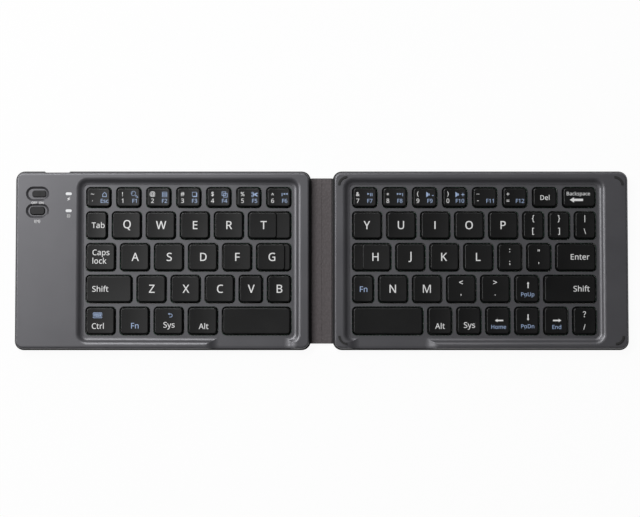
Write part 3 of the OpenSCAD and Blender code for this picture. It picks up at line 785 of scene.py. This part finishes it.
def print_marks(name, marks, body):
    """Print marks as one piece. A mark is text, height, place, ink, anchor and spread."""
    shape = bmesh.new()
    for text, height, place, ink, anchor, spread in marks:
        mesh = character_mesh(text, height, spread)
        before = set(shape.verts)
        faces_before = set(shape.faces)
        shape.from_mesh(mesh)
        bpy.data.meshes.remove(mesh)
        verts = [v for v in shape.verts if v not in before]
        xs = [v.co.x for v in verts]
        ys = [v.co.y for v in verts]
        held = {"left": min(xs), "centre": (min(xs) + max(xs)) / 2, "right": max(xs)}[anchor]
        middle = Vector((held, (min(ys) + max(ys)) / 2, 0))
        for vert in verts:
            vert.co = (vert.co - middle) * MM + place
        for face in shape.faces:
            if face not in faces_before:
                face.material_index = ink
    bmesh.ops.remove_doubles(shape, verts=shape.verts, dist=ink_merge)
    bmesh.ops.recalc_face_normals(shape, faces=shape.faces)
    piece = add_piece(name, shape, white_ink)
    piece.data.materials.append(blue_ink)
    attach(piece, body)


WHITE, BLUE = 0, 1  # the inks' places among a piece's materials


def number_cap(upper, lower, icon_text, f_text):
    """Shifted sign over digit on the left, blue icon over F-number on the right."""
    left, right = -3.3, 2.75
    marks = [
        (upper, digit, left, 1.5, WHITE, "centre"),
        (lower, digit, left, -1.85, WHITE, "centre"),
    ]
    if icon_text:
        marks.append((icon_text, icon, right, 1.3, BLUE, "centre"))
    marks.append((f_text, small, right, -1.9, BLUE, "centre"))
    return marks


def letter_cap(letter, dx=0):
    """One large letter."""
    return [(letter, big, dx, 0, WHITE, "centre")]


def word_cap(text, dx, dy, ink=WHITE, anchor="centre"):
    """One word."""
    return [(text, word, dx, dy, ink, anchor)]


def sign_cap(upper, lower):
    """Two signs, one above the other."""
    return [(upper, word, 0, 3.2, WHITE, "centre"), (lower, word, 0, -3.1, WHITE, "centre")]


def arrow_cap(arrow, size, dy, second):
    """A white arrow over a blue word."""
    return [
        (arrow, size, 0.7, dy, WHITE, "centre"),
        (second, small, 0.5, -3.1, BLUE, "centre"),
    ]


legends = {
    "number_keys_left": [
        number_cap("~", "`", "⌂", "Esc"),
        number_cap("!", "1", "🔍", "F1"),
        number_cap("@", "2", "▤", "F2"),
        number_cap("#", "3", "❏", "F3"),
        number_cap("$", "4", "⧉", "F4"),
        number_cap("%", "5", "✀", "F5"),
        number_cap("^", "6", "ı◂◂", "F6"),
    ],
    "tab_key": [word_cap("Tab", 0.5, 0)],
    "letter_keys_q_to_r": [letter_cap(c) for c in "QWER"],
    "letter_key_t": [letter_cap("T", -3.2)],
    "caps_lock_key": [
        word_cap("Caps", -4.3, 1.8, anchor="left") + word_cap("lock", -4.3, -1.9, anchor="left")
    ],
    "letter_keys_a_to_f": [letter_cap(c) for c in "ASDF"],
    "letter_key_g": [letter_cap("G", -1.1)],
    "shift_key_left": [word_cap("Shift", -8.5, 0, anchor="left")],
    "letter_keys_z_to_b": [letter_cap(c) for c in "ZXCVB"],
    "control_key": [
        [("⌨", 2.9, -1.6, 2.7, BLUE, "centre")] + word_cap("Ctrl", -4.4, -2.6, anchor="left")
    ],
    "function_key_left": [word_cap("Fn", 0, -2.5, BLUE)],
    "system_key_left": [word_cap("Sys", 0, -2.5) + [("⮌", 2.2, 0.6, 2.8, BLUE, "centre")]],
    "alt_key_left": [word_cap("Alt", 0.2, -2.7)],
    "number_keys_right": [
        number_cap("&", "7", "▸ıı", "F7"),
        number_cap("*", "8", "▸▸ı", "F8"),
        number_cap("(", "9", "🕨-", "F9"),
        number_cap(")", "0", "🕨+", "F10"),
        number_cap("_", "-", "", "F11"),
        number_cap("+", "=", "", "F12"),
        [("Del", 2.3, 0.2, -0.2, WHITE, "centre")],
    ],
    "backspace_key": [
        [
            ("Backspace", 1.7, -0.2, 1.5, WHITE, "centre"),
            ("⭠", 7.0, -1.2, -1.4, WHITE, "centre"),
        ]
    ],
    "letter_keys_y_to_p": [
        *(letter_cap(c) for c in "YUIOP"),
        sign_cap("{", "["),
        sign_cap("}", "]"),
        sign_cap("|", "\\"),
    ],
    "letter_key_h": [letter_cap("H", 2.0)],
    "letter_keys_j_to_l": [letter_cap(c) for c in "JKL"],
    "punctuation_keys": [sign_cap(":", ";"), sign_cap("\"", "'")],
    "enter_key": [word_cap("Enter", 6.9, 0, anchor="right")],
    "function_key_right": [word_cap("Fn", 0.4, -0.2, BLUE)],
    "letter_keys_n_and_m": [
        letter_cap("N"),
        letter_cap("M"),
        sign_cap("<", ","),
        sign_cap(">", "."),
    ],
    "arrow_up_key": [arrow_cap("⭡", 3.4, 1.9, "PgUp")],
    "shift_key_right": [word_cap("Shift", 9.9, 0.1, anchor="right")],
    "alt_and_system_keys_right": [word_cap("Alt", 0.2, -2.6), word_cap("Sys", 0.4, -2.6)],
    "arrow_left_key": [arrow_cap("⭠", 4.4, 0.1, "Home")],
    "arrow_down_key": [arrow_cap("⭣", 3.4, 1.6, "PgDn")],
    "arrow_right_and_slash_keys": [arrow_cap("⭢", 4.4, 0.1, "End"), sign_cap("?", "/")],
}

ink_rise = 0.7 * ink_t  # the ink's lower face is sunk into the cap
print_z = key_boxes["tab_key"][0][1].z + ink_rise
for name, caps in legends.items():
    marks = []
    for (low, high), cap in zip(key_boxes[name], caps):
        for text, height, dx, dy, ink, anchor in cap:
            middle = (low + high) / 2
            shift = -math.copysign(print_shift, middle.x)
            place = Vector(
                (middle.x + shift + dx * MM, middle.y + (dy + print_rise) * MM, print_z)
            )
            spread = 0 if text == "M" else stroke
            marks.append((text, height, place, ink, anchor, spread))
    print_marks(name + "_legends", marks, name + "_body")


# ---- Printed marks on the control panel ----
# Small white signs: off and on beside the power switch, waves for pairing, and a
# charging bolt and a lamp sign under the windows.

knob_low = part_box("power_slide_knob")[0]
button_low, button_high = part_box("pairing_button")
windows = solid_boxes("status_light_windows")
panel_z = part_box("left_top_bezel")[1].z + ink_rise
panel_stroke = 0.02
switch_mark, waves_mark, window_mark = 1.1, 1.3, 1.5
window_gap = 0.0012  # from a window's front edge to the middle of its sign
bowl_x = (button_low.x + button_high.x) / 2
switch_place = Vector((bowl_x, knob_low.y - 0.0028, panel_z))
waves_place = Vector((bowl_x, button_low.y - 0.0026, panel_z))
marks = [
    ("OFF  ON", switch_mark, switch_place, WHITE, "centre", panel_stroke),
    ("((•))", waves_mark, waves_place, WHITE, "centre", panel_stroke),
]
for (low, high), sign in zip(sorted(windows, key=lambda box: -box[0].y), "🗲▤"):
    place = Vector(((low.x + high.x) / 2, low.y - window_gap, panel_z))
    marks.append((sign, window_mark, place, WHITE, "centre", 0))
print_marks("panel_marks", marks, "left_half")


# ---- Floor, lamps and camera ----
# A white table that runs out into white all round. A long soft box stands to the left
# and behind, with a wide one for sheen and a low one along the case's edges.

table_half, table_gap, table_white = 4, 0.0001, 0.95
shape = bmesh.new()
bmesh.ops.create_grid(shape, x_segments=1, y_segments=1, size=table_half)
finish, wire, place = new_finish("white_table")
seen = wire.node("LightPath", out="Is Camera Ray")
glossy = wire.node("LightPath", out="Is Glossy Ray")
sent = wire.node("LightPath", out="Is Transmission Ray")
shown = wire.maths("MAXIMUM", wire.maths("MAXIMUM", seen, glossy), sent)
paper = wire.node("BsdfDiffuse", Color=(0.8, 0.8, 0.8, 1))
glow = wire.node("Emission", Color=(1, 1, 1, 1), Strength=1.0)
mixed = wire.node("MixShader", Fac=shown * table_white, Shader=paper, Shader_001=glow)
wire.node("OutputMaterial", Surface=mixed)
floor = add_piece("floor", shape, finish)
floor.data.transform(Matrix.Translation((0, 0, -table_gap)))


def soft_lamp(name, place, length, width, power):
    """A soft box that faces the keyboard, its length level."""
    lamp = bpy.data.lights.new(name, "AREA")
    lamp.shape = "RECTANGLE"
    lamp.size = length
    lamp.size_y = width
    lamp.energy = power
    holder = bpy.data.objects.new(name, lamp)
    bpy.context.scene.collection.objects.link(holder)
    holder.location = place
    holder.rotation_euler = Vector(place).to_track_quat("Z", "Y").to_euler()


soft_lamp("strip_light", (-0.45, 0.45, 0.95), length=1.2, width=0.2, power=13)
soft_lamp("sheen_light", (-0.40, 0.10, 1.00), length=0.6, width=0.6, power=0.5)
soft_lamp("edge_light", (-0.70, 0.70, 0.35), length=0.5, width=0.3, power=3)

world = bpy.data.worlds.new("studio")
bpy.context.scene.world = world
world.use_nodes = True
world.node_tree.nodes.clear()
wire = Wire(world.node_tree)
seen = wire.node("LightPath", out="Is Camera Ray")
room_light = 0.05
sky = wire.node(
    "Background", Color=(1, 1, 1, 1), Strength=room_light + (1 - room_light) * seen
)
wire.node("OutputWorld", Surface=sky)

image_width, pixel, sensor = 640, 0.0005, 36
view_distance, view_tilt = 0.9, math.radians(3)
aim = Vector((-0.0009, 0.0010, 0.004))
camera = bpy.data.cameras.new("camera")
camera.sensor_width = sensor
camera.lens = sensor * view_distance / (image_width * pixel)
camera.clip_start = 0.01
tripod = bpy.data.objects.new("camera", camera)
bpy.context.scene.collection.objects.link(tripod)
upwards = Vector((0, -math.sin(view_tilt), math.cos(view_tilt)))
tripod.location = aim + upwards * view_distance
tripod.rotation_euler = (view_tilt, 0, 0)
bpy.context.scene.camera = tripod
bpy.context.scene.view_settings.view_transform = "Standard"
